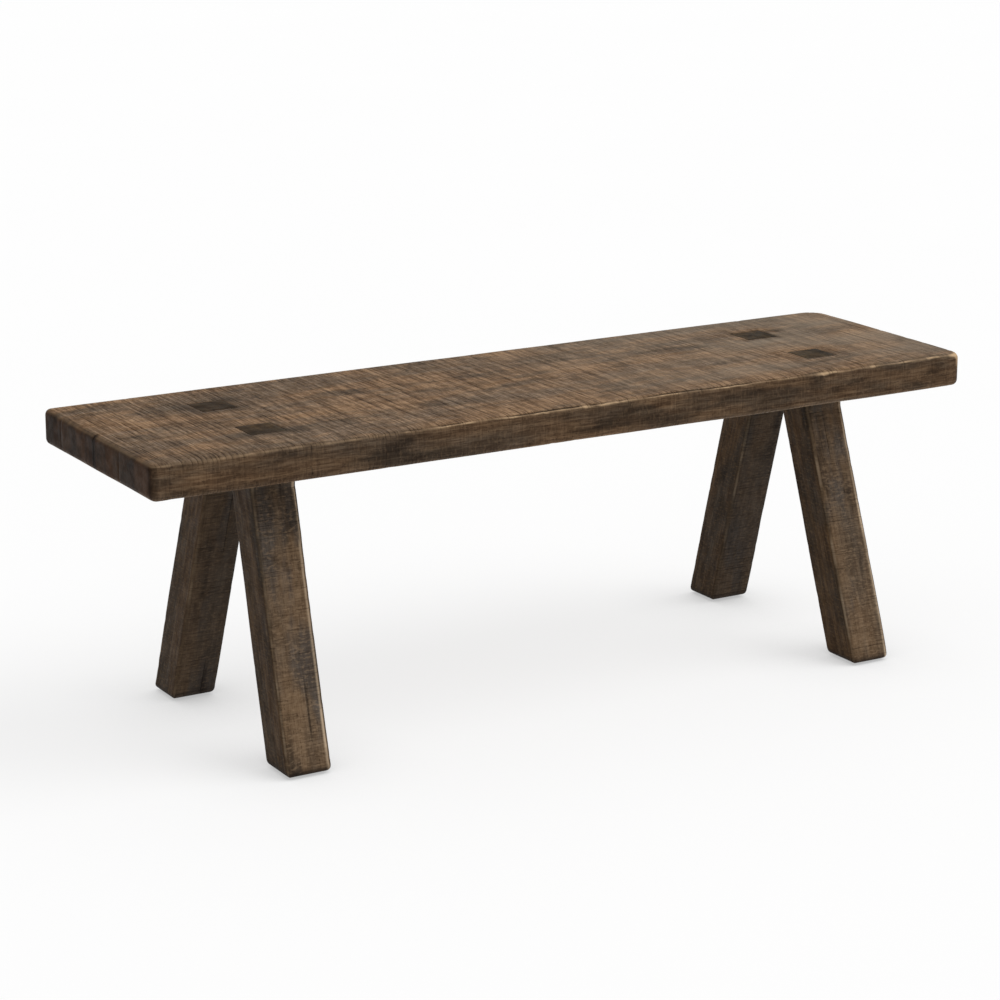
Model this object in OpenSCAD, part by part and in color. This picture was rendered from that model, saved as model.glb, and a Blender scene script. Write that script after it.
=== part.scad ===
// Backless bench of dark, reclaimed timber. Two thick planks are dowelled edge to edge
// to make the seat. Each of the four splayed legs ends in an upright tenon that passes
// right through the seat and shows as end grain in its top.
// Origin on the floor under the middle of the seat: +X along it, +Y to the back, +Z up.

/* [Seat] */
// Length of the seat along X
seat_l = 1350; // [1200:10:1800]
// Depth of the seat along Y
seat_w = 375; // [340:5:450]
// Thickness of the planks
seat_t = 52; // [40:1:70]
// Height of the seat's top face above the floor
seat_h = 460; // [420:5:480]
// Distance of the joint between the planks behind the centre line
seam_y = 6; // [-10:1:15]
// Radius of the seat's worn outer edges and corners
seat_r = 10; // [3:1:14]

/* [Legs] */
// Width of a leg along X
leg_w = 70; // [60:1:90]
// Thickness of a leg, square to its own length
leg_t = 66.8; // [58:0.2:72]
// Half the distance between the feet along X, centre to centre
foot_x = 481; // [460:1:520]
// Half the distance between the feet along Y, centre to centre
foot_y = 190; // [182:1:205]
// Distance that the four legs together are set to the right of the seat's middle
legs_shift = 12; // [-20:1:20]
// Inward lean of a leg along X, from floor to seat
lean_x = 14; // [5:1:30]
// Inward lean of a leg along Y, from floor to seat
lean_y = 131; // [120:1:132]
// Height of the upright cut on a leg's outer face, just under the seat
neck_h = 30; // [15:1:40]
// Radius of a leg's long edges
leg_r = 6; // [2:0.5:8]
// Size of the chamfer around the bottom of a foot
foot_chamfer = 5; // [2:0.5:8]

/* [Tenons] */
// Width of a tenon along X
tenon_w = 54; // [44:1:56]
// Thickness of a tenon along Y
tenon_t = 53; // [40:1:56]
// Distance that every tenon is cut to the left of the centre line of its leg
tenon_set = 7; // [0:0.5:7]
// Gap between a tenon and each wall of its mortise
tenon_gap = 0.3; // [0.1:0.05:1]

/* [Dowels] */
// Diameter of a dowel in the joint between the planks
dowel_d = 12; // [8:1:16]
// Length of a dowel
dowel_l = 70; // [40:2:72]
// Distance between neighbouring dowels along X
dowel_pitch = 190; // [185:1:195]
// Extra diameter of a dowel's hole
dowel_play = 0.2; // [0.1:0.05:0.5]

/* [Glides] */
// Diameter of the glide under each foot
glide_d = 30; // [20:1:36]
// Thickness of a glide
glide_t = 3; // [2:0.5:5]
// Diameter of the nail's shank
nail_d = 2.4; // [2:0.1:3]
// Length of the nail's shank above the glide
nail_l = 18; // [12:1:25]
// Diameter of the nail's head, moulded into the glide
nail_head_d = 8; // [5:0.5:10]
// Thickness of the nail's head
nail_head_t = 1; // [0.8:0.1:1.4]

/* [Hidden] */
$fn = 48;
eps = 0.01;
sides = [-1, 1];
underside = seat_h - seat_t;
leg_h = underside - glide_t;
// Angles that tip an upright post until its axis follows the two leans
tip_y = atan(lean_x / leg_h);
tip_x = atan(lean_y * cos(tip_y) / leg_h);
// Thickness of a leg measured level, along Y
level_t = leg_t / cos(tip_x);
// The outer face turns upright at the neck, and the tenon carries it on through the seat
neck_z = underside - neck_h;
outer_y = foot_y + level_t / 2 - (neck_z - glide_t) * lean_y / leg_h;
tenon_x = foot_x - lean_x;
tenon_y = outer_y - tenon_t / 2;
// The dowels lie along Y in the middle of the thickness, none of them beside a mortise
dowel_z = seat_h - seat_t / 2;
dowels_each_side = 3;
dowel_xs = [for (i = [-dowels_each_side:dowels_each_side]) i * dowel_pitch];
dowel_end_gap = 1;
// A nail's hole in the wood is a little wider and deeper than the nail
nail_play = 0.1;
glide_edge = 1;
wood_dark = "#4a3b2e";
wood_top = "#756252";

// A rectangle centred on the origin, with its four corners rounded
module round_rect(w, h, r) {
    square([w, h - 2 * r], center = true);
    square([w - 2 * r, h], center = true);
    for (x = sides, y = sides)
        translate([x * (w / 2 - r), y * (h / 2 - r)]) circle(r);
}

// The whole seat before it is divided: its edges are rounded seen from above, end and front
module seat_blank() {
    translate([0, 0, underside + seat_t / 2]) intersection() {
        linear_extrude(seat_t, center = true) round_rect(seat_l, seat_w, seat_r);
        rotate([90, 0, 90]) linear_extrude(seat_l, center = true) round_rect(seat_w, seat_t, seat_r);
        rotate([90, 0, 0]) linear_extrude(seat_w, center = true) round_rect(seat_l, seat_t, seat_r);
    }
}

// The part of the seat on one side of the joint, with its mortises and dowel holes
module seat_plank(side) {
    mortise = [tenon_w + 2 * tenon_gap, tenon_t + 2 * tenon_gap, seat_t + 2];
    hole_l = dowel_l / 2 + dowel_end_gap;
    difference() {
        seat_blank();
        // Everything beyond the joint
        translate([-seat_l, seam_y - (side > 0 ? seat_w : 0), underside - 1])
            cube([2 * seat_l, seat_w, seat_t + 2]);
        for (x = sides)
            translate([legs_shift + x * tenon_x - tenon_set, side * tenon_y, underside + seat_t / 2])
                cube(mortise, center = true);
        for (x = dowel_xs)
            translate([x, seam_y, dowel_z]) rotate([-90 * side, 0, 0])
                translate([0, 0, -1]) cylinder(hole_l + 1, d = dowel_d + dowel_play);
    }
}

// Puts a piece drawn upright on the origin onto a right back leg's foot, tipped as the leg is
module tipped() {
    translate([foot_x, foot_y, glide_t]) rotate([tip_x, -tip_y, 0]) children();
}

// The leaning post of a right back leg, cut level at the head and foot
module leg_post() {
    spare = 60;
    intersection() {
        tipped() translate([0, 0, -spare])
            linear_extrude(leg_h + 2 * spare) round_rect(leg_w, leg_t, leg_r);
        translate([0, 0, glide_t]) cube([seat_l, seat_w, leg_h]);
    }
}

// The wood left on outside the post at the neck, so that the tenon's outer face runs on down it
module leg_neck() {
    intersection() {
        tipped() translate([-leg_w / 2, 0, 0]) cube([leg_w, leg_t, 2 * leg_h]);
        translate([0, 0, neck_z]) cube([seat_l, outer_y, neck_h]);
    }
}

// Wedges that take the chamfer off the four bottom edges of a foot
module foot_chamfers() {
    side = foot_chamfer * sqrt(2);
    spare = 2 * foot_chamfer;
    translate([foot_x, foot_y, glide_t]) {
        for (x = sides)
            translate([x * leg_w / cos(tip_y) / 2, 0, 0]) rotate([0, 45, 0])
                cube([side, level_t + spare, side], center = true);
        for (y = sides)
            translate([0, y * level_t / 2, 0]) rotate([45, 0, 0])
                cube([leg_w + spare, side, side], center = true);
    }
}

// One leg and its tenon in a single piece of wood, with the hole for its glide's nail
module leg(x, y) {
    translate([legs_shift, 0, 0]) mirror([x < 0 ? 1 : 0, 0, 0]) mirror([0, y < 0 ? 1 : 0, 0])
        difference() {
            union() {
                leg_post();
                leg_neck();
                translate([tenon_x - x * tenon_set - tenon_w / 2, outer_y - tenon_t, underside - eps])
                    cube([tenon_w, tenon_t, seat_t + eps]);
            }
            foot_chamfers();
            translate([foot_x, foot_y, 0]) cylinder(glide_t + nail_l + 1, d = nail_d + nail_play);
        }
}

// Fluted in life, plain here: the pins that line up the two planks inside their joint
module seam_dowels() {
    color("#b8925a") for (x = dowel_xs)
        translate([x, seam_y - dowel_l / 2, dowel_z]) rotate([-90, 0, 0]) cylinder(dowel_l, d = dowel_d);
}

// One nylon disc with an eased lower edge, hollow where the nail's head is moulded in
module glide() {
    head_z = (glide_t - nail_head_t) / 2;
    difference() {
        rotate_extrude() polygon([
            [0, 0], [glide_d / 2 - glide_edge, 0], [glide_d / 2, glide_edge],
            [glide_d / 2, glide_t], [0, glide_t],
        ]);
        translate([0, 0, head_z - nail_play / 2])
            cylinder(nail_head_t + nail_play, d = nail_head_d + nail_play);
        translate([0, 0, head_z]) cylinder(glide_t, d = nail_d + nail_play);
    }
}

// One steel nail: a flat head inside the glide and a plain shank up into the foot
module glide_nail() {
    head_z = (glide_t - nail_head_t) / 2;
    translate([0, 0, head_z]) cylinder(nail_head_t, d = nail_head_d);
    translate([0, 0, head_z]) cylinder(glide_t - head_z + nail_l, d = nail_d);
}

// Copies of a small piece, one under the centre of each foot
module at_feet() {
    for (x = sides, y = sides) translate([legs_shift + x * foot_x, y * foot_y, 0]) children();
}

module seat_front_plank() { color(wood_top) seat_plank(-1); }
module seat_back_plank() { color(wood_top) seat_plank(1); }
module leg_front_left() { color(wood_dark) leg(-1, -1); }
module leg_front_right() { color(wood_dark) leg(1, -1); }
module leg_back_left() { color(wood_dark) leg(-1, 1); }
module leg_back_right() { color(wood_dark) leg(1, 1); }
module foot_glides() { color("#26221f") at_feet() glide(); }
module glide_nails() { color("silver") at_feet() glide_nail(); }

seat_front_plank();
seat_back_plank();
leg_front_left();
leg_front_right();
leg_back_left();
leg_back_right();
seam_dowels();
foot_glides();
glide_nails();
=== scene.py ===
import math

import bpy
import numpy as np
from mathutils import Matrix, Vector


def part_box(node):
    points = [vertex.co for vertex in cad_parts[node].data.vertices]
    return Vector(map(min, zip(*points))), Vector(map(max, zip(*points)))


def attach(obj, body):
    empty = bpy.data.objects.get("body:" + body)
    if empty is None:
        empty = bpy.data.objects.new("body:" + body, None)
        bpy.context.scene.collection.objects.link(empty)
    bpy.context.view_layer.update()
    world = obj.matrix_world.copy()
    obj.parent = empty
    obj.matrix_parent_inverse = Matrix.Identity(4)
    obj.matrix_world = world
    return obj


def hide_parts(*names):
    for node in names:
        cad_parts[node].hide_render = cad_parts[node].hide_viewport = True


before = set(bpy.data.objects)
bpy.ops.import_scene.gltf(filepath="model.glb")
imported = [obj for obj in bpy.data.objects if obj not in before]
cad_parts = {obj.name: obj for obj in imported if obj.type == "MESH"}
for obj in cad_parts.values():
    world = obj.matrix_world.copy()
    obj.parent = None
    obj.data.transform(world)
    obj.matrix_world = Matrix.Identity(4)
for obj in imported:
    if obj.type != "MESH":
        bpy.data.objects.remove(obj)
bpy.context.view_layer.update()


# ------------------------------------------------------------------ seat planks
# Two thick boards of reclaimed elm, dowelled edge to edge and stained dark. They were left as the
# saw cut them, across the grain, and years of use have rounded and chipped their edges. Each has
# two square mortises cut right through it for the tenons of its two legs.

MM = 0.001
WIDE = 1.0             # metres: a noise this long one way hardly changes along it
SEAT_LOW = np.array(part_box("seat_front_plank")[0])
SEAT_HIGH = np.array(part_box("seat_back_plank")[1])
SEAM_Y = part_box("seat_front_plank")[1][1]
SEAT_EDGE_STEPS = np.array([0, 0.9, 2.0, 3.3, 4.9, 6.8, 9.2, 12.5]) * MM  # the mesh, in from an edge
SEAM_EDGE_STEPS = np.array([0, 0.8, 2.4])     # the same in from the seam, in mm
SEAT_GRID = np.array([5.5, 7.0, 6.0]) * MM    # the widest spans of the mesh along X, Y and Z
SEAT_RADIUS = 8.5 * MM
SEAT_CORNERS = np.array([[12, 12], [15, 34]]) * MM  # seen from above: left front and back, right likewise
SEAT_SAW_SEED = 11
SEAT_FIRST_CUT = 3 * MM                       # from the left end
SEAT_CUTS_APART = np.array([3.4, 11.0]) * MM  # from one stroke of the saw to the next
CUT_CLEAR = 1.8 * MM                          # the least from a stroke to a wall or a crack
CUT_HALF = 0.7 * MM                           # half the width of the groove a stroke leaves
CUT_DEEP = 0.55 * MM
CUT_WANDER = 0.7 * MM
MORTISE_XS = np.array([-462.0, 472.0]) * MM   # centres of the mortises along the seat
MORTISE_SIDES_X = np.array([-28.2, 27.3]) * MM  # from a centre to the two walls: looser on the left
MORTISE_SIDES_Y = np.array([50.5, 104.6]) * MM  # from the middle of the seat to the two walls
END_CHECKS_Y = np.array([-80.0, 121.0]) * MM  # drying cracks up the sawn ends
FRONT_CHECK_X = -440.0 * MM                   # a crack down the front edge
SPLIT_IN = 2.8 * MM                           # a split along the worn front edge
CRACK_DEEP = 1.6 * MM
SEAM_GAP = 0.1 * MM
SEAM_GAP_AT_ENDS = 0.45 * MM
SEAM_ARRIS = 0.3 * MM                         # how far the faces drop where the two boards meet
SEAM_NOTCH = 1.2 * MM                         # and how much rounder the left end is there
FRONT_SHARPER = 1.6 * MM                      # the top front edge is sharper, but chipped and nicked
FRONT_CHIPS = 3.2 * MM
FRONT_NICKS = 2.2 * MM
FRONT_WANDER = 1.6 * MM
FRONT_DIP = 1.8 * MM
SIDE_WAVE = 1.5 * MM                          # how far the middle of the front edge wanders up and down
RIGHT_CORNER_ROUNDER = 2.5 * MM
SEAT_HOLLOW = 0.55 * MM                       # how far the whole skin is worn in, at most
SEAT_DENT = 0.5 * MM
NEAR_FRONT = (0.165, 0.18)                    # each is where a zone starts and where it is full
NEAR_TOP = (0.435, 0.452)
NEAR_RIGHT_END = (0.645, 0.668)
NEAR_LEFT_END = (0.655, 0.67)
NEAR_ENDS = (0.60, 0.67)
FRONT_WORN_FROM = (-0.42, -0.2)
TENON_HALO = 27 * MM                          # from a mortise's centre to where the dark halo starts
HALO_REACH = (26 * MM, 16 * MM)               # how far it spreads, on the left and on the right


def noise(points, size, seed):
    """Smooth noise from -1 to 1 at points, with hills about size across, in one or three ways.
    The large odd numbers scramble the place of each corner of a cell into a chance height."""
    place = points / np.asarray(size, float) + 17.3 * (seed + 1)
    cell = np.floor(place).astype(np.int64)
    part = place - cell
    part = part * part * (3 - 2 * part)
    total = np.zeros(len(place))
    for corner in np.ndindex(2, 2, 2):
        c = cell + np.array(corner)
        mix = c[:, 0] * 73856093 ^ c[:, 1] * 19349663 ^ c[:, 2] * 83492791 ^ (seed + 1) * 26544357
        mix = ((mix ^ (mix >> 13)) * 1274126177) & 0xFFFFFFFF
        mix = ((mix ^ (mix >> 16)) * 2246822519) & 0xFFFFFFFF
        share = np.prod(np.where(np.array(corner) == 1, part, 1 - part), axis=1)
        total += share * ((mix >> 8) / 2 ** 23 - 1)
    return total


def ramp(value, low, high):
    """0 at low, 1 at high, and an even curve between."""
    t = np.clip((value - low) / (high - low), 0, 1)
    return t * t * (3 - 2 * t)


def saw_cuts(start, end, apart, keep_off, rng):
    """Random places for the saw's strokes from start to end, none of them close to keep_off."""
    cuts = start + np.cumsum(rng.uniform(apart[0], apart[1], int((end - start) / apart[0])))
    clear = np.abs(cuts[:, None] - np.asarray(keep_off)[None, :]).min(axis=1) > CUT_CLEAR
    return cuts[(cuts < end - apart[0]) & clear]


def grid_lines(fixed, cuts, widest):
    """Grid lines through fixed, three to each cut, and more wherever two are over widest apart."""
    lines = np.sort(np.concatenate([fixed, cuts - CUT_HALF, cuts, cuts + CUT_HALF]))
    lines = lines[np.append(True, np.diff(lines) > 0.05 * MM)]
    spans = [np.linspace(a, b, int((b - a) / widest) + 2)[1:] for a, b in zip(lines, lines[1:])]
    return np.concatenate([lines[:1]] + spans)


def on_lines(values, lines):
    """Which of the values lie on one of the grid lines."""
    return np.isclose(values[:, None], lines[None, :], atol=1e-6).any(axis=1)


def skin(lines, solid):
    """Points and quads round the filled cells of a grid, facing outwards."""
    shape = [len(line) for line in lines]
    number = np.arange(np.prod(shape)).reshape(shape)
    quads = []
    for axis in range(3):
        order = (axis, (axis + 1) % 3, (axis + 2) % 3)
        change = np.diff(np.pad(solid, 1).transpose(order).astype(int), axis=0)[:, 1:-1, 1:-1]
        at = number.transpose(order)
        for way in (1, -1):
            i, j, k = np.nonzero(change == -way)
            quad = np.stack([at[i, j, k], at[i, j + 1, k], at[i, j + 1, k + 1], at[i, j, k + 1]], axis=1)
            quads.append(quad[:, ::way])
    used, faces = np.unique(np.concatenate(quads), return_inverse=True)
    places = np.unravel_index(used, shape)
    points = np.stack([line[place] for line, place in zip(lines, places)], axis=1)
    return points, faces.reshape(-1, 4)


def between(lines, start, end):
    """Which of the cells between grid lines lie from start to end."""
    middle = (lines[1:] + lines[:-1]) / 2
    return (middle > start) & (middle < end)


def eased(points, low, high, corner, radius, depth):
    """Rounds a block by corner at its upright corners and by radius at its top and bottom edges,
    and sinks its skin by depth. Also gives the way that the skin faces at each point."""
    middle = (low + high)[:2] / 2
    off = points[:, :2] - middle
    reach = np.abs(off) - ((high - low)[:2] / 2 - corner[:, None])
    inset = corner - reach.max(axis=1)
    drop = np.minimum(points[:, 2] - low[2], high[2] - points[:, 2])
    upper = np.where(points[:, 2] - low[2] > high[2] - points[:, 2], 1, -1)
    on_skin = (np.minimum(inset, drop) < 1e-7)[:, None]
    out = np.stack([np.maximum(radius - inset, 0), np.maximum(radius - drop, 0)], axis=1)
    spread = out.max(axis=1, keepdims=True)
    out = out / np.maximum(np.linalg.norm(out, axis=1, keepdims=True), 1e-9)
    sink = out * (np.where(on_skin, depth[:, None], 0) - spread)
    new_inset = np.maximum(inset, radius) + sink[:, 0]
    new_drop = np.maximum(drop, radius) + sink[:, 1]
    in_corner = (reach > 0).all(axis=1)
    way = np.where(in_corner[:, None], reach, reach >= reach.max(axis=1, keepdims=True))
    way = way / np.maximum(np.linalg.norm(way, axis=1, keepdims=True), 1e-9)
    base = np.where(in_corner[:, None], np.abs(off) - reach, np.abs(off) - way * reach)
    plan = middle + np.sign(off) * (base + way * (corner - new_inset)[:, None])
    height = np.where(upper > 0, high[2] - new_drop, low[2] + new_drop)
    facing = np.concatenate([np.sign(off) * way * out[:, :1], (out[:, 1] * upper)[:, None]], axis=1)
    return np.concatenate([plan, height[:, None]], axis=1), facing * on_skin


def placed(name, data):
    """A new object in the scene, at the origin, for a mesh, a lamp or a camera."""
    thing = bpy.data.objects.new(name, data)
    bpy.context.scene.collection.objects.link(thing)
    return thing


def timber_piece(name, points, faces, marks):
    """A smooth mesh object with the vectors that the timber's material reads: place, for the grain;
    wear, which is (saw cut, rubbed wear and a painted highlight, crack); and facing, which is (end,
    side, stain and painted shade), where a value below nought in the last is pale dust."""
    mesh = bpy.data.meshes.new(name)
    mesh.from_pydata(points.tolist(), [], faces.tolist())
    for label, values in marks.items():
        layer = mesh.attributes.new(label, "FLOAT_VECTOR", "POINT")
        layer.data.foreach_set("vector", np.ascontiguousarray(values, np.float32).ravel())
    mesh.shade_smooth()
    return placed(name, mesh)


def seat_plank(name, y_start, y_end):
    """The board from y_start to y_end. Both boards share the strokes of the saw that cross them."""
    rng = np.random.default_rng(SEAT_SAW_SEED)
    low, high = SEAT_LOW, SEAT_HIGH

    # A block of small cells, cut out at the mortises, with grid lines at edges, strokes and cracks
    inwards = 1 if y_start > low[1] + MM else -1
    walls_x = (MORTISE_XS[:, None] + MORTISE_SIDES_X[None, :]).ravel()
    walls_y = np.sort(inwards * MORTISE_SIDES_Y)
    checks_y = END_CHECKS_Y[(END_CHECKS_Y > y_start) & (END_CHECKS_Y < y_end)]
    keep_off = np.append(walls_x, FRONT_CHECK_X)
    cuts = saw_cuts(low[0] + SEAT_FIRST_CUT, high[0], SEAT_CUTS_APART, keep_off, rng)
    cuts = np.append(cuts, FRONT_CHECK_X)
    ends_x = np.concatenate([low[0] + SEAT_EDGE_STEPS, high[0] - SEAT_EDGE_STEPS])
    outer = low[1] + SEAT_EDGE_STEPS if inwards < 0 else high[1] - SEAT_EDGE_STEPS
    near_seam = SEAM_Y + inwards * SEAM_EDGE_STEPS * MM
    faces_z = np.concatenate([low[2] + SEAT_EDGE_STEPS, high[2] - SEAT_EDGE_STEPS])
    xs = grid_lines(np.concatenate([ends_x, walls_x]), cuts, SEAT_GRID[0])
    splits = np.array([low[1] + SPLIT_IN] if inwards < 0 else [])
    ys = grid_lines(np.concatenate([outer, near_seam, walls_y]), np.append(checks_y, splits), SEAT_GRID[1])
    zs = grid_lines(faces_z, np.array([]), SEAT_GRID[2])
    solid = np.ones((len(xs) - 1, len(ys) - 1, len(zs) - 1), bool)
    for wall_low, wall_high in walls_x.reshape(2, 2):
        hole = np.ix_(between(xs, wall_low, wall_high), between(ys, *walls_y))
        solid[hole] = False
    flat, faces = skin((xs, ys, zs), solid)
    x, y, z = flat.T

    # How round the edges are: chipped along the front, and notched where the boards meet at the end
    along = np.stack([x, y * 0.05, z * 0.05], axis=1)
    front_top = ramp(-y, *NEAR_FRONT) * ramp(z, *NEAR_TOP)
    chipped = ramp(noise(along, 23 * MM, 3), 0.0, 0.5) * ramp(noise(along, 170 * MM, 4), -0.35, 0.35)
    nicked = ramp(noise(along, 7 * MM, 5), 0.35, 0.8)
    radius = SEAT_RADIUS * (1 + 0.2 * noise(flat, 85 * MM, 6)) - FRONT_SHARPER * front_top
    right_corner = ramp(x, *NEAR_RIGHT_END) * ramp(-y, *NEAR_FRONT) * ramp(z, 0.43, 0.45)
    radius = radius + front_top * (FRONT_CHIPS * chipped + FRONT_NICKS * nicked)
    radius = radius + RIGHT_CORNER_ROUNDER * right_corner
    at_seam = np.exp(-((y - SEAM_Y) / (4 * MM)) ** 2)
    radius = radius + SEAM_NOTCH * ramp(-x, *NEAR_LEFT_END) * at_seam * ramp(z, 0.44, 0.452)
    corners = SEAT_CORNERS[(x > 0).astype(int), (y > 0).astype(int)]
    corners = np.maximum(corners, radius + 0.5 * MM)
    facing = eased(flat, low, high, corners, radius, 0 * x)[1]
    end, side, face = np.abs(facing).T

    # The saw's strokes: some run the whole width, most fade in and out, and the left has the most
    stroke = on_lines(x, cuts) & ~np.isclose(x, FRONT_CHECK_X)
    busy = 0.42 * ramp(-x, 0.25, 0.6) + 0.25 * noise(flat, (210 * MM, WIDE, WIDE), 8)
    fading = noise(flat, (5 * MM, 95 * MM, 120 * MM), 9) + 0.6 * noise(flat, (4 * MM, 0.9, 0.9), 10)
    kerf = stroke * ramp(fading + busy, -0.35, 0.75) * (face + 0.15 * side)
    across = CUT_WANDER * noise(flat, (37 * MM, 130 * MM, 130 * MM), 12)

    # Drying cracks up the ends and down the front edge, and a split along the worn front edge
    end_check = on_lines(y, END_CHECKS_Y) * end
    end_check = end_check * ramp(noise(flat, (WIDE, WIDE, 19 * MM), 13), -0.5, 0.4)
    front_check = np.isclose(x, FRONT_CHECK_X) * side * (y < 0) * ramp(noise(flat, 15 * MM, 14), -0.8, 0)
    from_front = y - low[1]
    split = (1 - ramp(np.abs(from_front - SPLIT_IN), 0.4 * MM, 1.7 * MM)) * (facing[:, 2] > 0.3)
    broken = noise(flat, (38 * MM, WIDE, WIDE), 15) + 0.4 * noise(flat, 9 * MM, 19)
    split = split * ramp(broken, -0.2, 0.25)
    split = split * ramp(x, -0.40, -0.2) * (1 - 0.6 * ramp(x, 0.3, 0.45))
    crack = np.clip(0.25 * end_check + front_check + 0.85 * split, 0, 1)
    seam = np.isclose(y, SEAM_Y)
    near_end = ramp(np.abs(x), *NEAR_ENDS)

    # Sink the skin, let the strokes wander, part the boards at the seam and wave the front edge
    hollow = SEAT_HOLLOW * (0.5 + 0.5 * noise(flat, (150 * MM, 80 * MM, 80 * MM), 16))
    dented = SEAT_DENT * ramp(noise(flat, 13 * MM, 17), 0.45, 0.9)
    depth = hollow + dented + CUT_DEEP * kerf + CRACK_DEEP * crack
    points = eased(flat, low, high, corners, radius, depth)[0]
    near_wall = np.abs(x[:, None] - walls_x[None, :]).min(axis=1)
    points[:, 0] += across * ramp(near_wall, 0, 30 * MM) * face * (end < 0.05)
    points[:, 1] += inwards * seam * (SEAM_GAP + SEAM_GAP_AT_ENDS * near_end)
    points[:, 2] -= seam * face * np.sign(facing[:, 2]) * SEAM_ARRIS
    side_wave = SIDE_WAVE * noise(flat, (75 * MM, WIDE, WIDE), 18)
    points[:, 2] += side * side_wave * (y < 0) * (face < 0.05)
    wander = ramp(from_front, 0, 2 * MM) * (1 - ramp(from_front, 4 * MM, 15 * MM)) * (facing[:, 2] > 0.3)
    wavy = noise(flat, (60 * MM, WIDE, WIDE), 24) + 0.5 * noise(flat, (13 * MM, WIDE, WIDE), 25)
    points[:, 1] += wander * FRONT_WANDER * wavy
    dip = (1 - ramp(from_front, 3 * MM, 22 * MM)) * ramp(z, 0.42, 0.452)
    points[:, 2] -= dip * FRONT_DIP * (0.5 + 0.5 * noise(flat, (48 * MM, WIDE, WIDE), 27))

    # Pale where hands and legs rub, with a painted highlight on the rounded right front corner, dark
    # round the tenons, whose end grain drew in the stain, and dusty towards the right end
    arris = np.minimum(np.hypot(end, side), np.maximum(facing[:, 2], 0))
    rubbed = ramp(arris, 0.42, 0.67) * (0.25 + 0.75 * ramp(noise(along, 19 * MM, 20), -0.35, 0.45))
    rubbed = rubbed * (0.6 + 0.4 * ramp(noise(along, 6 * MM, 26), -0.3, 0.3))
    worn = rubbed * (0.35 + 0.65 * front_top * ramp(x, *FRONT_WORN_FROM)) * (1 - 0.35 * end)
    # Painted highlight: the rounded right front corner is lit pale, carried along with the rubbed wear
    worn = worn + 0.8 * right_corner * ramp(np.minimum(end, side) + arris, 0.2, 0.5)
    off_x = np.abs(x[:, None] - MORTISE_XS[None, :]).min(axis=1) - TENON_HALO
    off_y = np.abs(np.abs(y) - MORTISE_SIDES_Y.mean()) - TENON_HALO
    off = np.hypot(0.45 * np.maximum(off_x, 0), np.maximum(off_y, 0))
    trail = np.where(x < 0, *HALO_REACH)
    blotch = 0.25 + 0.75 * ramp(noise(flat, (34 * MM, 15 * MM, 50 * MM), 21), -0.35, 0.4)
    stain_and_shade = (1 - ramp(off, 0.5 * MM, trail)) * blotch * np.where(x < 0, 0.8, 0.6)
    dust = 0.75 * ramp(x, -0.15, 0.6) * ramp(noise(flat, (160 * MM, 55 * MM, 60 * MM), 23), -1.1, 0.6)
    stain_and_shade = stain_and_shade - dust * (off > 0)
    seam_dark = 0.25 * seam * face * ramp(noise(along, 90 * MM, 22), -0.1, 0.4)
    seam_stain = 1 - ramp(np.abs(y - SEAM_Y), 0.9 * MM, 4.5 * MM)
    seam_dark = seam_dark + seam_stain * near_end * np.clip(end + arris, 0, 1)
    crack = np.clip(crack + seam_dark, 0, 1)
    marks = {
        "place": flat,
        "wear": np.stack([kerf, worn, crack], axis=1),
        "facing": np.stack([end, side, stain_and_shade * face], axis=1),
    }
    return timber_piece(name, points, faces, marks)


def linear(code):
    """An sRGB hex colour as the linear red, green, blue and alpha that a shader takes."""
    parts = [int(code[i:i + 2], 16) / 255 for i in (1, 3, 5)]
    return [c / 12.92 if c <= 0.04045 else ((c + 0.055) / 1.055) ** 2.4 for c in parts] + [1]


def add(tree, kind, inputs=(), **settings):
    """Adds a node with its settings, and gives each input a value or another node's output."""
    node = tree.nodes.new(kind)
    for name, value in settings.items():
        setattr(node, name, value)
    for name, value in dict(inputs).items():
        if isinstance(value, bpy.types.NodeSocket):
            tree.links.new(value, node.inputs[name])
        else:
            node.inputs[name].default_value = value
    return node


def new_finish(name):
    """A new material, and its empty tree of nodes."""
    material = bpy.data.materials.new(name)
    material.use_nodes = True
    material.node_tree.nodes.clear()
    return material, material.node_tree


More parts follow.
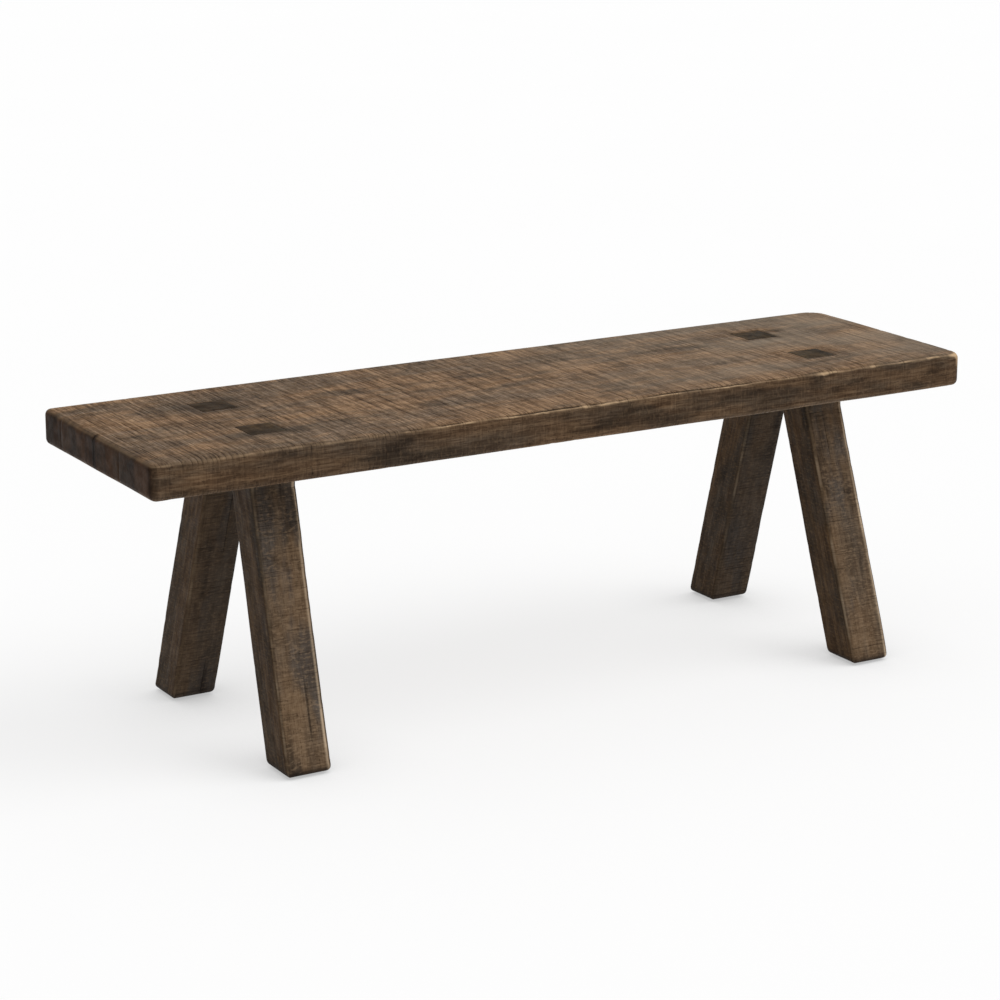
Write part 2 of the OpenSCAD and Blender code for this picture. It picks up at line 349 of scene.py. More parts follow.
def sawn_timber(name, tones, seed):
    """Stained, rough-sawn timber. tones are its colours, and seed shifts the whole pattern."""
    material, tree = new_finish(name)
    place = add(tree, "ShaderNodeAttribute", attribute_name="place").outputs["Vector"]
    wear = add(tree, "ShaderNodeAttribute", attribute_name="wear").outputs["Vector"]
    facing = add(tree, "ShaderNodeAttribute", attribute_name="facing").outputs["Vector"]
    kerf, worn, crack = add(tree, "ShaderNodeSeparateXYZ", {0: wear}).outputs[:3]
    end, side, stain_and_shade = add(tree, "ShaderNodeSeparateXYZ", {0: facing}).outputs[:3]
    # Stain and painted shade are the part above nought, and dust the part below it
    dust = add(tree, "ShaderNodeMath", {0: stain_and_shade, 1: -1.0}, operation="MULTIPLY", use_clamp=True).outputs[0]
    stain_and_shade = add(tree, "ShaderNodeMath", {0: stain_and_shade, 1: 1.0}, operation="MULTIPLY", use_clamp=True).outputs[0]

    # Each pattern is (size in mm along the grain, across it and through it, detail, low, high). The
    # fibres, pores and fuzz are drawn several times as coarse as real ones, which are too fine to show
    patterns = {
        "cloud": ((230, 70, 60), 3.0, 0.40, 0.62),
        "grey": ((150, 48, 48), 3.0, 0.50, 0.66),
        "tan": ((90, 42, 40), 4.0, 0.54, 0.72),
        "smudge": ((34, 17, 17), 4.0, 0.30, 0.72),
        "streak": ((130, 5.0, 5.0), 5.0, 0.32, 0.68),
        "fibre": ((24, 1.8, 1.8), 3.0, 0.32, 0.68),
        "stroke": ((2.6, 95, 80), 2.0, 0.50, 0.64),
        "band": ((8, 130, 110), 3.0, 0.36, 0.66),
        "fuzz": ((1.7, 14, 14), 3.0, 0.34, 0.68),
        "pore": ((7, 2.2, 2.2), 2.0, 0.60, 0.70),
        "soot": ((120, 36, 36), 4.0, 0.55, 0.70),
        "chatter": ((3.4, 8, 8), 4.0, 0.50, 0.66),
        "rings": ((300, 26, 170), 4.0, 0.42, 0.62),
    }
    field = {}
    for number, (label, (size, detail, low, high)) in enumerate(patterns.items()):
        shifted = add(tree, "ShaderNodeMapping", {
            "Vector": place,
            "Location": (seed + 3.1 * number, 2.3 * number, seed),
            "Scale": [1000 / s for s in size],
        }).outputs[0]
        cloud = add(tree, "ShaderNodeTexNoise", {
            "Vector": shifted, "Scale": 1.0, "Detail": detail, "Roughness": 0.55,
        }).outputs[0]
        field[label] = add(tree, "ShaderNodeMapRange", {
            "Value": cloud, "From Min": low, "From Max": high,
        }, interpolation_type="SMOOTHSTEP").outputs[0]

    # Strokes of the saw cross the sawn faces, and the long grain shows on the sides
    not_sawn = add(tree, "ShaderNodeMath", {0: side, 1: end}, operation="ADD", use_clamp=True).outputs[0]
    sawn = add(tree, "ShaderNodeMath", {0: 1.0, 1: not_sawn}, operation="SUBTRACT").outputs[0]
    grain = tones["grain"]
    for label, where, least in (("stroke", sawn, 0.3), ("band", sawn, 0.2), ("fuzz", sawn, 0.2),
                                ("streak", side, grain), ("fibre", side, grain), ("rings", end, 0.1)):
        share = add(tree, "ShaderNodeMath", {
            0: where, 1: 1 - least, 2: least,
        }, operation="MULTIPLY_ADD").outputs[0]
        field[label] = add(tree, "ShaderNodeMath", {
            0: field[label], 1: share,
        }, operation="MULTIPLY").outputs[0]

    # The stain over the wood: (blend, how much, pattern, colour), laid one on the other
    colour = add(tree, "ShaderNodeMixRGB", {
        "Fac": field["cloud"], "Color1": linear(tones["warm"]), "Color2": linear(tones["cool"]),
    }).outputs[0]
    layers = [
        ("MIX", 0.75, field["grey"], tones["grey"]),
        ("MIX", 0.55, field["tan"], tones["tan"]),
        ("MIX", 0.55, field["soot"], tones["stain_and_shade"]),
        ("MULTIPLY", 0.50, field["smudge"], "#b8b0a8"),
        ("MULTIPLY", 0.70, field["streak"], "#a3958a"),
        ("MULTIPLY", 0.70, field["fibre"], "#ab9d90"),
        ("MULTIPLY", tones["strokes"], field["band"], "#a3968a"),
        ("MULTIPLY", tones["strokes"], field["stroke"], "#6a5a4c"),
        ("MULTIPLY", tones["strokes"], field["fuzz"], "#a5978a"),
        ("MULTIPLY", 0.45, field["pore"], "#5a4b3e"),
        ("MIX", tones["chatter"], field["chatter"], tones["tan"]),
        # Stain on the seat; on the legs this same layer is painted shade at the foot, under the seat and
        # inside
        ("MIX", 0.8, stain_and_shade, tones["stain_and_shade"]),
        ("MIX", 0.7, dust, "#958775"),
        ("MULTIPLY", 0.55, field["rings"], "#7d6a58"),
        # Painted shade: the upright sides are darkened by the side tone, for how the light falls on them
        ("MULTIPLY", 1.0, side, tones["side"]),
        ("MULTIPLY", 1.0, end, tones["end"]),
        # Rubbed pale wood, and on the seat also a painted highlight at the right front corner
        ("MIX", 0.85, worn, tones["worn"]),
        ("MULTIPLY", 0.9, kerf, "#4a3d33"),
        ("MIX", 0.95, crack, "#120d0a"),
    ]
    for blend, amount, mask, tone in layers:
        share = add(tree, "ShaderNodeMath", {0: mask, 1: amount}, operation="MULTIPLY").outputs[0]
        colour = add(tree, "ShaderNodeMixRGB", {
            "Fac": share, "Color1": colour, "Color2": linear(tone),
        }, blend_type=blend).outputs[0]

    rough = add(tree, "ShaderNodeMapRange", {
        "Value": field["smudge"], "To Min": 0.5, "To Max": 0.68,
    }).outputs[0]
    rough = add(tree, "ShaderNodeMath", {0: kerf, 1: 0.2, 2: rough}, operation="MULTIPLY_ADD").outputs[0]
    height = add(tree, "ShaderNodeMath", {0: field["fibre"], 1: 0.35}, operation="MULTIPLY").outputs[0]
    for label, share in (("streak", 0.5), ("stroke", 0.8), ("fuzz", 0.5), ("pore", 0.6), ("smudge", 0.5)):
        height = add(tree, "ShaderNodeMath", {
            0: field[label], 1: share, 2: height,
        }, operation="MULTIPLY_ADD").outputs[0]
    bump = add(tree, "ShaderNodeBump", {"Strength": 0.6, "Distance": 0.5 * MM, "Height": height}, invert=True)
    shader = add(tree, "ShaderNodeBsdfPrincipled", {
        "Base Color": colour, "Roughness": rough, "Normal": bump.outputs[0], "Specular IOR Level": 0.07,
    })
    add(tree, "ShaderNodeOutputMaterial", {"Surface": shader.outputs[0]})
    return material


# Elm under a dark water stain, dry and matt: grey-brown clouds along the boards over warmer wood,
# crossed by the dark, fuzzy strokes of the saw, with bare tan wood wherever an edge is rubbed.
# Its darker upright sides are painted shade, and a painted highlight lies on its right front corner.
stained_elm = sawn_timber("dark_stained_sawn_elm", {
    "warm": "#b89775", "cool": "#9c8771", "grey": "#847462", "tan": "#d7b189", "stain_and_shade": "#40372e",
    "side": "#adacab", "end": "#5c482e", "worn": "#c6a884",
    "strokes": 0.65, "grain": 0.2, "chatter": 0.12,
}, seed=2.0)

front_plank = seat_plank("front_plank", SEAT_LOW[1], SEAM_Y)
back_plank = seat_plank("back_plank", SEAM_Y, SEAT_HIGH[1])
for plank, node in ((front_plank, "seat_front_plank"), (back_plank, "seat_back_plank")):
    plank.data.materials.append(stained_elm)
    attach(plank, "root")
    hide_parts(node)


# ------------------------------------------------------------------------- legs
# Four square posts sawn from the same old timber. Each splays out to its foot, is cut level top
# and bottom, and carries its outer face up into a tenon that goes right through the seat, where
# the end of its grain shows. The long edges are rubbed round and the foot is eased all round.

LEG_FOOT_X = 481 * MM
LEG_FOOT_Y = 190 * MM
LEGS_SHIFT = 12 * MM       # all four stand this far to the right of the seat's middle
LEG_LEAN_X = 14 * MM       # how far a leg leans in from foot to head, along and across the bench
LEG_LEAN_Y = 131 * MM
LEG_WIDE = 70.04 * MM
LEG_THICK = 70.2 * MM      # cut level, so thicker than it is square to the leg
LEG_BOTTOM = 3 * MM        # the glide's thickness
LEG_HEAD = 408 * MM        # the underside of the seat
TENON_TOP = 459.6 * MM
TENON_HALF = 27 * MM
TENON_THICK = 53 * MM
TENON_SET = 7 * MM         # every tenon is cut this far to the left of its leg's centre
NECK_OUT = 103.8 * MM      # how far out the upright outer face of the neck and tenon stands
TENON_CHAMFER = 0.7 * MM
TENON_CORNER = 0.6 * MM
TENON_RADIUS = 0.4 * MM
LEG_RADIUS = 6.5 * MM
LEG_RUBBED_RADIUS = 10 * MM  # the outer right edge is the most worn
FOOT_RADIUS = 8 * MM
LEG_SPLAY = math.radians(17.9)  # the grain runs along the leg, so its pattern is longer by this lean
LEG_EDGE_STEPS = np.array([0, 1.0, 2.1, 3.5, 5.2, 7.5, 10.5]) * MM
FOOT_EDGE_STEPS = np.array([0, 0.9, 2.0, 3.4, 5.2, 8.0]) * MM
LEG_GRID = np.array([7.0, 7.0, 5.0]) * MM  # the widest spans of the mesh
LEG_FIRST_CUT = 6 * MM
LEG_CUTS_APART = np.array([2.8, 7.5]) * MM
LEG_CUT_DEEP = 0.35 * MM
LEG_CHECK_DEEP = 1.1 * MM
LEG_HOLLOW = 0.5 * MM
LEG_DENT = 0.35 * MM
LEG_NICK = 0.8 * MM
FOOT_SHADE_HEIGHTS = np.array([3.0, 12.0]) * MM     # painted shade at the foot up to here, above the glide
UNDER_SEAT_SHADE = 85 * MM       # where the painted shade under the seat starts on the legs
BEYOND = 1.0               # metres: past every line of the grid


def leg_piece(name, right, back, seed):
    """The leg on the right (1) or left (-1), at the back (1) or front (-1), made as an upright post
    and then leaned."""
    rng = np.random.default_rng(seed)
    half = LEG_WIDE / 2

    # A block of small cells, u across it, v from its inner face to its outer, z up, and cut away
    # round the tenon
    inner_at_head = LEG_FOOT_Y - LEG_LEAN_Y - LEG_THICK / 2
    tenon_u = -TENON_SET + np.array([-TENON_HALF, TENON_HALF])
    tenon_v = (NECK_OUT - TENON_THICK - inner_at_head) / (NECK_OUT - inner_at_head) * LEG_THICK
    checks_u = rng.uniform(-0.55, 0.55, 2) * half
    cuts = saw_cuts(LEG_BOTTOM + LEG_FIRST_CUT, LEG_HEAD, LEG_CUTS_APART, [LEG_HEAD], rng)
    fixed_u = np.concatenate([LEG_EDGE_STEPS - half, half - LEG_EDGE_STEPS, tenon_u])
    us = grid_lines(fixed_u, checks_u, LEG_GRID[0])
    fixed_v = np.concatenate([LEG_EDGE_STEPS, LEG_THICK - LEG_EDGE_STEPS, [tenon_v]])
    vs = grid_lines(fixed_v, np.array([]), LEG_GRID[1])
    foot = LEG_BOTTOM + FOOT_EDGE_STEPS
    head = np.array([LEG_HEAD - 0.6 * MM, LEG_HEAD, TENON_TOP - 0.8 * MM, TENON_TOP])
    zs = grid_lines(np.concatenate([foot, head]), cuts, LEG_GRID[2])
    solid = np.ones((len(us) - 1, len(vs) - 1, len(zs) - 1), bool)
    above = between(zs, LEG_HEAD, BEYOND)
    tenon = between(us, *tenon_u)[:, None] & between(vs, tenon_v, BEYOND)[None, :]
    solid[:, :, above] = tenon[:, :, None]
    flat, faces = skin((us, vs, zs), solid)
    u, v, z = flat.T
    post = z < LEG_HEAD + 0.1 * MM

    # Long edges rubbed to an uneven round, with a few nicks
    edge = np.stack([z, np.sign(u) * 0.05, np.sign(v - LEG_THICK / 2) * 0.05], axis=1)
    corners = np.where((u > 0) & (v > LEG_THICK / 2), LEG_RUBBED_RADIUS, LEG_RADIUS)
    corners = corners * (1 + 0.2 * noise(edge, 90 * MM, seed))
    corners = corners + LEG_NICK * ramp(noise(edge, 15 * MM, seed + 1), 0.3, 0.8)
    corners = np.where(post, corners, TENON_CORNER)
    radius = np.where(post, FOOT_RADIUS, TENON_RADIUS)
    low = np.array([-half, 0, LEG_BOTTOM])
    high = np.array([half, LEG_THICK, BEYOND])
    facing = eased(flat, low, high, corners, radius, 0 * z)[1]
    left_right, in_out = np.abs(facing[:, 0]), np.abs(facing[:, 1])

    # The saw's strokes, two drying cracks up the faces, and hollows and dents all over
    stroke = on_lines(z, cuts)
    fading = noise(flat, (13 * MM, 26 * MM, 3 * MM), seed + 2)
    fading = fading + 0.5 * noise(flat, (WIDE, WIDE, 24 * MM), seed + 3)
    kerf = stroke * ramp(fading, -0.2, 0.9) * (0.85 * in_out + 0.25 * left_right)
    check = on_lines(u, checks_u) * in_out
    check = check * ramp(noise(flat, (20 * MM, WIDE, 60 * MM), seed + 4), 0.05, 0.5) * post
    hollow = LEG_HOLLOW * (0.5 + 0.5 * noise(flat, (60 * MM, 60 * MM, 130 * MM), seed + 5))
    dented = LEG_DENT * ramp(noise(flat, (11 * MM, 11 * MM, 15 * MM), seed + 6), 0.4, 0.9)
    depth = post * (hollow + dented + LEG_CUT_DEEP * kerf + LEG_CHECK_DEEP * check)
    su, sv, sz = eased(flat, low, high, corners, radius, depth)[0].T
    trim = np.maximum(TENON_CHAMFER - (TENON_TOP - z), 0)
    su = su - np.clip((su + TENON_SET) / TENON_HALF, -1, 1) * trim
    sv = sv - np.clip((sv - LEG_THICK / 2) / (LEG_THICK / 2), -1, 1) * trim

    # From the square post to the leaning one, whose outer face turns upright at the neck
    rise = np.clip((sz - LEG_BOTTOM) / (LEG_HEAD - LEG_BOTTOM), 0, 1)
    middle = LEG_FOOT_Y - LEG_LEAN_Y * rise
    inner = middle - LEG_THICK / 2
    outer = np.maximum(middle + LEG_THICK / 2, NECK_OUT)
    px = LEGS_SHIFT + right * (LEG_FOOT_X - LEG_LEAN_X * rise) + su
    py = back * (inner + sv / LEG_THICK * (outer - inner))
    points = np.stack([px, py, sz], axis=1)
    if back < 0:
        faces = faces[:, ::-1]

    # Rubbed pale along the left edges and in a thin line along the outer right ones, and darkened
    # with painted shade at the foot, under the seat and on the inner face
    top_end = (z > TENON_TOP - 0.1 * MM) * 1.0
    patchy = noise(edge, 40 * MM, seed + 8) + 0.5 * noise(edge, 9 * MM, seed + 9)
    patchy = 0.2 + 0.8 * ramp(patchy, -0.2, 0.7)
    left_edge = (u < 0) * ramp(np.minimum(left_right, in_out), 0.3, 0.65) * (0.4 if back < 0 else 0.2)
    right_edge = (u > 0) * ramp(left_right, 0.06, 0.25) * (1 - ramp(left_right, 0.35, 0.6))
    rubbed = patchy * left_edge + np.minimum(1.5 * patchy + 0.3, 1) * right_edge * (facing[:, 1] > 0)
    # Painted shade: the foot darkens towards the floor
    foot_shade = 1 - ramp(z, *(LEG_BOTTOM + FOOT_SHADE_HEIGHTS))
    # Painted shade: the legs darken under the seat
    under_seat_shade = ramp(z, LEG_HEAD - UNDER_SEAT_SHADE, LEG_HEAD)
    # Painted shade: the inner faces, which look down and inwards, are darker
    inner_face_shade = 0.75 * np.maximum(-facing[:, 1], 0)
    stain_and_shade = np.clip(foot_shade + 0.5 * under_seat_shade + inner_face_shade, 0, 1) * (1 - top_end)
    marks = {
        "place": np.stack([z / math.cos(LEG_SPLAY) + seed, u, v * back], axis=1),
        "wear": np.stack([kerf, rubbed * post, np.clip(check, 0, 1)], axis=1),
        "facing": np.stack([top_end, left_right, stain_and_shade], axis=1),
    }
    return timber_piece(name, points, faces, marks)


# The same elm with the same stain, dry and matt: the saw's strokes run level across the posts, the
# sides are darker and greyer than the faces by a painted shade, and the rubbed long edges show pale tan wood.
stained_leg_elm = sawn_timber("dark_stained_leg_elm", {
    "warm": "#877057", "cool": "#6f6152", "grey": "#5f5a56", "tan": "#947c62", "stain_and_shade": "#1d1611",
    "side": "#b7ad9b", "end": "#aca58e", "worn": "#bfa98e",
    "strokes": 0.25, "grain": 0.5, "chatter": 0.32,
}, seed=5.0)

leg_places = [
    ("front_left", -1, -1, 40), ("front_right", 1, -1, 60),
    ("back_left", -1, 1, 80), ("back_right", 1, 1, 100),
]
for corner_name, right, back, seed in leg_places:
    leg = leg_piece(corner_name + "_leg", right, back, seed)
    leg.data.materials.append(stained_leg_elm)
    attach(leg, "root")
    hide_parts("leg_" + corner_name)


# ----------------------------------------------------------------- seam dowels
# Seven fluted beech pins in the joint between the boards, half in each. They are compressed and
# chamfered by the maker's die, and can't be seen once the boards are glued together.

DOWEL_ACROSS = 12 * MM
DOWEL_LONG = 70 * MM
DOWEL_PITCH = 190 * MM
DOWEL_COUNT = 7
DOWEL_FLUTES = 16
DOWEL_FLUTE_DEEP = 0.35 * MM
DOWEL_CHAMFER = 1.5 * MM


def turned(name, rings, sides, flutes=0, flute_deep=0.0):
    """A closed turning about Z through rings of (radius, height), with flutes cut along it."""
    turn = np.linspace(0, 2 * math.pi, sides, endpoint=False)
    points = []
    for radius, height in rings:
        cut = radius - flute_deep * (0.5 - 0.5 * np.cos(flutes * turn))
        points += list(zip(cut * np.cos(turn), cut * np.sin(turn), np.full(sides, height)))
    faces = [tuple(reversed(range(sides)))]
    for ring in range(len(rings) - 1):
        for i in range(sides):
            j = (i + 1) % sides
            at = ring * sides
            faces.append((at + i, at + j, at + sides + j, at + sides + i))
    faces.append(tuple(range((len(rings) - 1) * sides, len(rings) * sides)))
    mesh = bpy.data.meshes.new(name)
    mesh.from_pydata([tuple(map(float, p)) for p in points], [], faces)
    return placed(name, mesh)


def set_out(piece, columns, rows, pitch, centre, turn, material):
    """Copies a small piece into columns and rows with Geometry Nodes, each copy turned by chance."""
    tree = bpy.data.node_groups.new("set_out_" + piece.name, "GeometryNodeTree")
    sockets = {}
    wanted = [
        ("Piece", "NodeSocketGeometry", None), ("Columns", "NodeSocketInt", columns),
        ("Rows", "NodeSocketInt", rows), ("Pitch", "NodeSocketVector", pitch),
        ("Centre", "NodeSocketVector", centre), ("Turn", "NodeSocketVector", turn),
        ("Finish", "NodeSocketMaterial", material),
    ]
    for label, kind, value in wanted:
        sockets[label] = tree.interface.new_socket(label, in_out="INPUT", socket_type=kind)
    tree.interface.new_socket("Pieces", in_out="OUTPUT", socket_type="NodeSocketGeometry")
    given = add(tree, "NodeGroupInput").outputs
    count = add(tree, "ShaderNodeMath", {0: given["Columns"], 1: given["Rows"]}, operation="MULTIPLY")
    index = add(tree, "GeometryNodeInputIndex").outputs[0]
    column = add(tree, "ShaderNodeMath", {0: index, 1: given["Columns"]}, operation="MODULO").outputs[0]
    row = add(tree, "ShaderNodeMath", {0: index, 1: given["Columns"]}, operation="DIVIDE").outputs[0]
    row = add(tree, "ShaderNodeMath", {0: row}, operation="FLOOR").outputs[0]
    steps = []
    for place, size in ((column, given["Columns"]), (row, given["Rows"])):
        last = add(tree, "ShaderNodeMath", {0: size, 1: 1.0}, operation="SUBTRACT").outputs[0]
        middle = add(tree, "ShaderNodeMath", {0: last, 1: 0.5}, operation="MULTIPLY").outputs[0]
        steps.append(add(tree, "ShaderNodeMath", {0: place, 1: middle}, operation="SUBTRACT").outputs[0])
    grid = add(tree, "ShaderNodeCombineXYZ", {0: steps[0], 1: steps[1]}).outputs[0]
    spot = add(tree, "ShaderNodeVectorMath", {
        0: grid, 1: given["Pitch"], 2: given["Centre"],
    }, operation="MULTIPLY_ADD").outputs[0]
    points = add(tree, "GeometryNodePoints", {"Count": count.outputs[0], "Position": spot}).outputs[0]
    chance = add(tree, "FunctionNodeRandomValue", {"Max": given["Turn"], "Seed": 4}, data_type="FLOAT_VECTOR")
    copies = add(tree, "GeometryNodeInstanceOnPoints", {
        "Points": points, "Instance": given["Piece"], "Rotation": chance.outputs[0],
    }).outputs[0]
    real = add(tree, "GeometryNodeRealizeInstances", {0: copies}).outputs[0]
    done = add(tree, "GeometryNodeSetMaterial", {"Geometry": real, "Material": given["Finish"]}).outputs[0]
    add(tree, "NodeGroupOutput", {0: done})
    modifier = piece.modifiers.new("set_out", "NODES")
    modifier.node_group = tree
    for label, kind, value in wanted[1:]:
        modifier[sockets[label].identifier] = value
    bpy.context.view_layer.update()
    made = piece.evaluated_get(bpy.context.evaluated_depsgraph_get())
    mesh = bpy.data.meshes.new_from_object(made)
    piece.modifiers.clear()
    piece.data = mesh
    return piece


# Beech, planed by the die and left bare: pale pinkish straw with short darker flecks and fine
# grooves along the pin, and a dull, dry surface.
beech, tree = new_finish("bare_pressed_beech")
coords = add(tree, "ShaderNodeTexCoord").outputs["Object"]
along_pin = add(tree, "ShaderNodeMapping", {"Vector": coords, "Scale": (1000 / 1.2, 1000 / 22, 1000 / 1.2)})
grain = add(tree, "ShaderNodeTexNoise", {"Vector": along_pin.outputs[0], "Scale": 1.0, "Detail": 4.0})
flecks = add(tree, "ShaderNodeMapRange", {"Value": grain.outputs[0], "From Min": 0.35, "From Max": 0.68})
tone = add(tree, "ShaderNodeMixRGB", {
    "Fac": flecks.outputs[0], "Color1": linear("#cfa878"), "Color2": linear("#a87a4e"),
})
relief = add(tree, "ShaderNodeBump", {"Strength": 0.4, "Distance": 0.2 * MM, "Height": grain.outputs[0]})
shader = add(tree, "ShaderNodeBsdfPrincipled", {
    "Base Color": tone.outputs[0], "Roughness": 0.62, "Normal": relief.outputs[0],
})
add(tree, "ShaderNodeOutputMaterial", {"Surface": shader.outputs[0]})

dowel_r = DOWEL_ACROSS / 2
dowels = turned("dowels", [
    (dowel_r - DOWEL_CHAMFER, -DOWEL_LONG / 2), (dowel_r, DOWEL_CHAMFER - DOWEL_LONG / 2),
    (dowel_r, -DOWEL_LONG / 6), (dowel_r, DOWEL_LONG / 6),
    (dowel_r, DOWEL_LONG / 2 - DOWEL_CHAMFER), (dowel_r - DOWEL_CHAMFER, DOWEL_LONG / 2),
], sides=4 * DOWEL_FLUTES, flutes=DOWEL_FLUTES, flute_deep=DOWEL_FLUTE_DEEP)
# The pin lies across the boards, along Y
for point in dowels.data.vertices:
    point.co = (point.co.x, -point.co.z, point.co.y)
dowel_z = (SEAT_LOW[2] + SEAT_HIGH[2]) / 2
set_out(dowels, DOWEL_COUNT, 1, (DOWEL_PITCH, 0, 0), (0, SEAM_Y, dowel_z), (0, 2 * math.pi, 0), beech)
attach(dowels, "root")
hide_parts("seam_dowels")


# ------------------------------------------------------------ glides and nails
# A nylon disc under each foot keeps the timber off the floor. It is moulded round the head of a
# steel nail, which is hammered up into the end grain of the foot.

GLIDE_R = 15 * MM
GLIDE_THICK = 3 * MM
NAIL_R = 1.2 * MM
NAIL_LONG = 18 * MM
NAIL_HEAD_R = 4 * MM
NAIL_HEAD_THICK = 1 * MM
NAIL_RING_PITCH = 1.4 * MM
NAIL_RING_DEEP = 0.15 * MM
FEET_PITCH = (2 * LEG_FOOT_X, 2 * LEG_FOOT_Y, 0)
FEET_CENTRE = (LEGS_SHIFT, 0, 0)

# Dark nylon 6, moulded and then scuffed by the floor: near black with a faint brown cast, a low
# waxy sheen, and paler hair scratches that run every way.
nylon, tree = new_finish("scuffed_moulded_nylon")
coords = add(tree, "ShaderNodeTexCoord").outputs["Object"]
haze = add(tree, "ShaderNodeTexNoise", {"Vector": coords, "Scale": 1000 / 6, "Detail": 5.0})
scuff = add(tree, "ShaderNodeTexNoise", {
    "Vector": coords, "Scale": 1000 / 1.1, "Detail": 3.0, "Distortion": 2.0,
})
scuffed = add(tree, "ShaderNodeMapRange", {"Value": scuff.outputs[0], "From Min": 0.55, "From Max": 0.7})
dark = add(tree, "ShaderNodeMixRGB", {
    "Fac": haze.outputs[0], "Color1": linear("#1f1c1a"), "Color2": linear("#2f2a27"),
})
tone = add(tree, "ShaderNodeMixRGB", {
    "Fac": scuffed.outputs[0], "Color1": dark.outputs[0], "Color2": linear("#4a443f"),
})
sheen = add(tree, "ShaderNodeMapRange", {"Value": haze.outputs[0], "To Min": 0.38, "To Max": 0.6})
relief = add(tree, "ShaderNodeBump", {"Strength": 0.3, "Distance": 0.1 * MM, "Height": scuff.outputs[0]})
shader = add(tree, "ShaderNodeBsdfPrincipled", {
    "Base Color": tone.outputs[0], "Roughness": sheen.outputs[0], "Normal": relief.outputs[0], "IOR": 1.53,
})
add(tree, "ShaderNodeOutputMaterial", {"Surface": shader.outputs[0]})

glides = turned("glides", [
    (GLIDE_R * 0.35, 0.0), (GLIDE_R - 1.4 * MM, 0.05 * MM), (GLIDE_R - 0.5 * MM, 0.4 * MM),
    (GLIDE_R, 1.1 * MM), (GLIDE_R, 2.7 * MM), (GLIDE_R - 0.3 * MM, GLIDE_THICK),
    (GLIDE_R * 0.5, GLIDE_THICK),
], sides=48)
set_out(glides, 2, 2, FEET_PITCH, FEET_CENTRE, (0, 0, 2 * math.pi), nylon)
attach(glides, "root")
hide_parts("foot_glides")

# Bright drawn steel wire under a thin zinc coat: a cool pale grey that is dulled in soft patches,
# with fine rings round the shank from the die.
steel, tree = new_finish("zinc_coated_drawn_steel")
coords = add(tree, "ShaderNodeTexCoord").outputs["Object"]
ringed = add(tree, "ShaderNodeMapping", {"Vector": coords, "Scale": (1000 / 5, 1000 / 5, 1000 / 0.6)})
rings = add(tree, "ShaderNodeTexNoise", {"Vector": ringed.outputs[0], "Scale": 1.0, "Detail": 3.0})
tone = add(tree, "ShaderNodeMixRGB", {
    "Fac": rings.outputs[0], "Color1": linear("#b9bcc0"), "Color2": linear("#8d9196"),
})
dulled = add(tree, "ShaderNodeMapRange", {"Value": rings.outputs[0], "To Min": 0.28, "To Max": 0.5})
relief = add(tree, "ShaderNodeBump", {"Strength": 0.3, "Distance": 0.1 * MM, "Height": rings.outputs[0]})
shader = add(tree, "ShaderNodeBsdfPrincipled", {
    "Base Color": tone.outputs[0], "Roughness": dulled.outputs[0], "Normal": relief.outputs[0],
    "Metallic": 1.0,
})
add(tree, "ShaderNodeOutputMaterial", {"Surface": shader.outputs[0]})

head_z = (GLIDE_THICK - NAIL_HEAD_THICK) / 2
shank_top = GLIDE_THICK + NAIL_LONG
shank = [(NAIL_R, head_z + NAIL_HEAD_THICK)]
for ring_z in np.arange(GLIDE_THICK + 2 * MM, shank_top - 4 * MM, NAIL_RING_PITCH):
    shank += [(NAIL_R, ring_z), (NAIL_R - NAIL_RING_DEEP, ring_z + 0.5 * MM)]
nails = turned("nails", [
    (NAIL_HEAD_R - 0.2 * MM, head_z), (NAIL_HEAD_R, head_z + 0.2 * MM),
    (NAIL_HEAD_R, head_z + 0.8 * MM), (NAIL_HEAD_R - 0.2 * MM, head_z + NAIL_HEAD_THICK),
] + shank + [(NAIL_R, shank_top - 3 * MM), (0.3 * MM, shank_top)], sides=24)
set_out(nails, 2, 2, FEET_PITCH, FEET_CENTRE, (0, 0, 2 * math.pi), steel)
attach(nails, "root")
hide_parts("glide_nails")


# --------------------------------------------------------------- floor and light
# A wide sheet of matt white card under a soft, even studio light: a broad lamp high on the right
# and a little to the front, an overhead bank, and white walls all round.

FLOOR_HALF = 40.0
SHADE_REACH = 0.16            # how near a foot has to be for the floor to darken
GLOW_IN_SHADE = 0.45
GLOW_IN_THE_OPEN = 0.70
WALLS_STRENGTH = 0.4
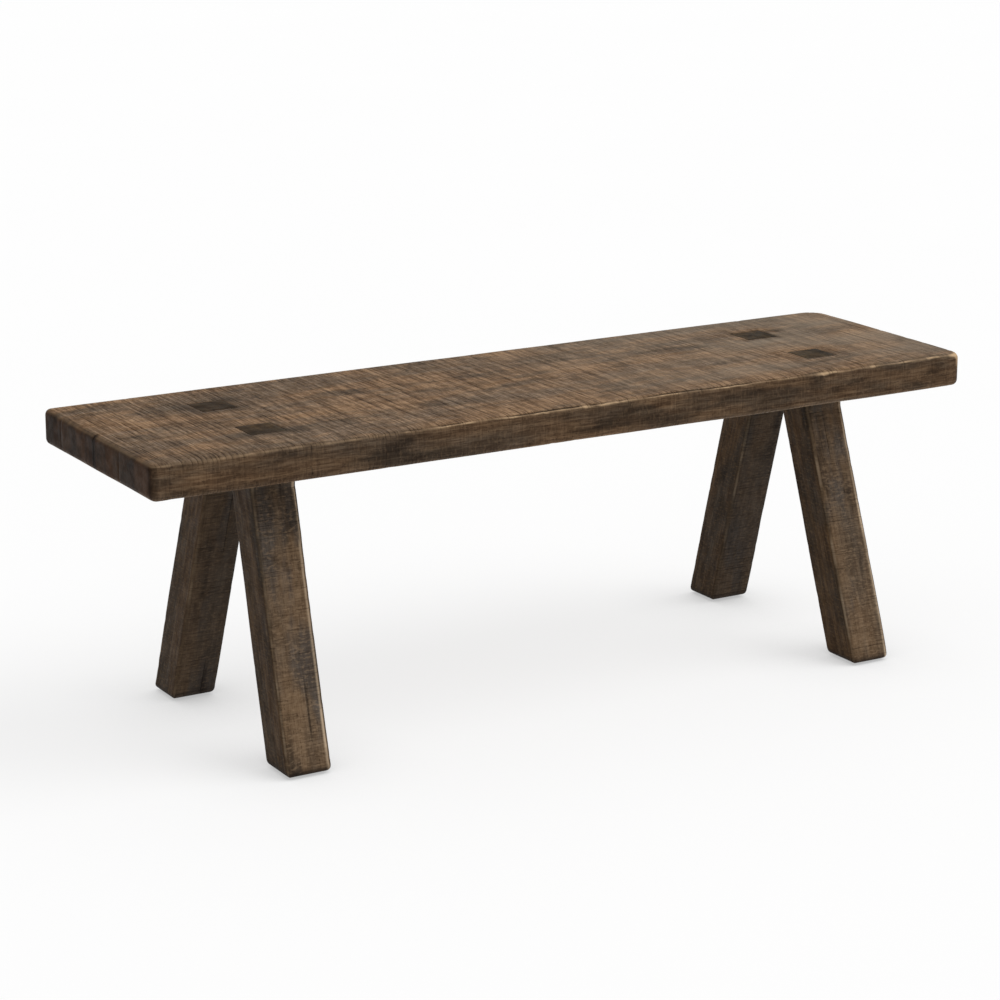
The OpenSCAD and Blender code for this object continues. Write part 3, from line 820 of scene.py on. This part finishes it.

# Uncoated card: an even, dead matt white with the faintest mottle. Part of its white is painted light,
# a glow of its own, which fades into a painted contact shadow close to the feet, so that it stays white
# under a soft light.
card, tree = new_finish("matt_white_card")
coords = add(tree, "ShaderNodeTexCoord").outputs["Object"]
mottle = add(tree, "ShaderNodeTexNoise", {"Vector": coords, "Scale": 1.3, "Detail": 2.0})
tone = add(tree, "ShaderNodeMixRGB", {
    "Fac": mottle.outputs[0], "Color1": linear("#959595"), "Color2": linear("#939393"),
})
clear = add(tree, "ShaderNodeAmbientOcclusion", {"Distance": SHADE_REACH}, samples=4).outputs["AO"]
glow = add(tree, "ShaderNodeMapRange", {
    "Value": clear, "From Min": 0.3, "From Max": 0.9,
    "To Min": GLOW_IN_SHADE, "To Max": GLOW_IN_THE_OPEN,
}).outputs[0]
shader = add(tree, "ShaderNodeBsdfPrincipled", {
    "Base Color": tone.outputs[0], "Roughness": 0.9, "Specular IOR Level": 0.1,
    "Emission Color": (1, 1, 1, 1), "Emission Strength": glow,
})
add(tree, "ShaderNodeOutputMaterial", {"Surface": shader.outputs[0]})
floor_mesh = bpy.data.meshes.new("floor")
floor_corners = [(-FLOOR_HALF, -FLOOR_HALF, 0), (FLOOR_HALF, -FLOOR_HALF, 0),
                 (FLOOR_HALF, FLOOR_HALF, 0), (-FLOOR_HALF, FLOOR_HALF, 0)]
floor_mesh.from_pydata(floor_corners, [], [(0, 1, 2, 3)])
floor_mesh.materials.append(card)
floor = placed("floor", floor_mesh)

# Each lamp is (name, the way towards it, strength, how many degrees of sky it fills)
lamps = [
    ("right_lamp", (0.62, -0.38, 0.70), 1.45, 48),
    ("overhead_bank", (0.1, 0.1, 1.0), 0.75, 100),
]
for name, towards, strength, spread in lamps:
    lamp = bpy.data.lights.new(name, "SUN")
    lamp.energy = strength
    lamp.angle = math.radians(spread)
    placed(name, lamp).rotation_euler = Vector(towards).to_track_quat("Z", "Y").to_euler()

walls = bpy.data.worlds.new("white_walls")
walls.use_nodes = True
background = walls.node_tree.nodes["Background"].inputs
background["Color"].default_value = (1, 1, 1, 1)
background["Strength"].default_value = WALLS_STRENGTH
bpy.context.scene.world = walls
bpy.context.scene.view_settings.view_transform = "Standard"


# ------------------------------------------------------------------------ camera
# A long lens at chest height, some four metres off the front-left corner of the bench and looking
# a little down on it.

LENS_LONG = 104.4                            # mm, on a full-frame sensor
SENSOR_WIDE = 36
SEES_TO = 200                                # metres
CAMERA_AT = (-2.1406, -3.5646, 1.4184)
CAMERA_TOWARDS = (0.49021, 0.83031, -0.2651)

lens = bpy.data.cameras.new("camera")
lens.lens = LENS_LONG
lens.sensor_width = SENSOR_WIDE
lens.clip_end = SEES_TO
camera = placed("camera", lens)
camera.location = CAMERA_AT
camera.rotation_euler = Vector(CAMERA_TOWARDS).to_track_quat("-Z", "Y").to_euler()
bpy.context.scene.camera = camera
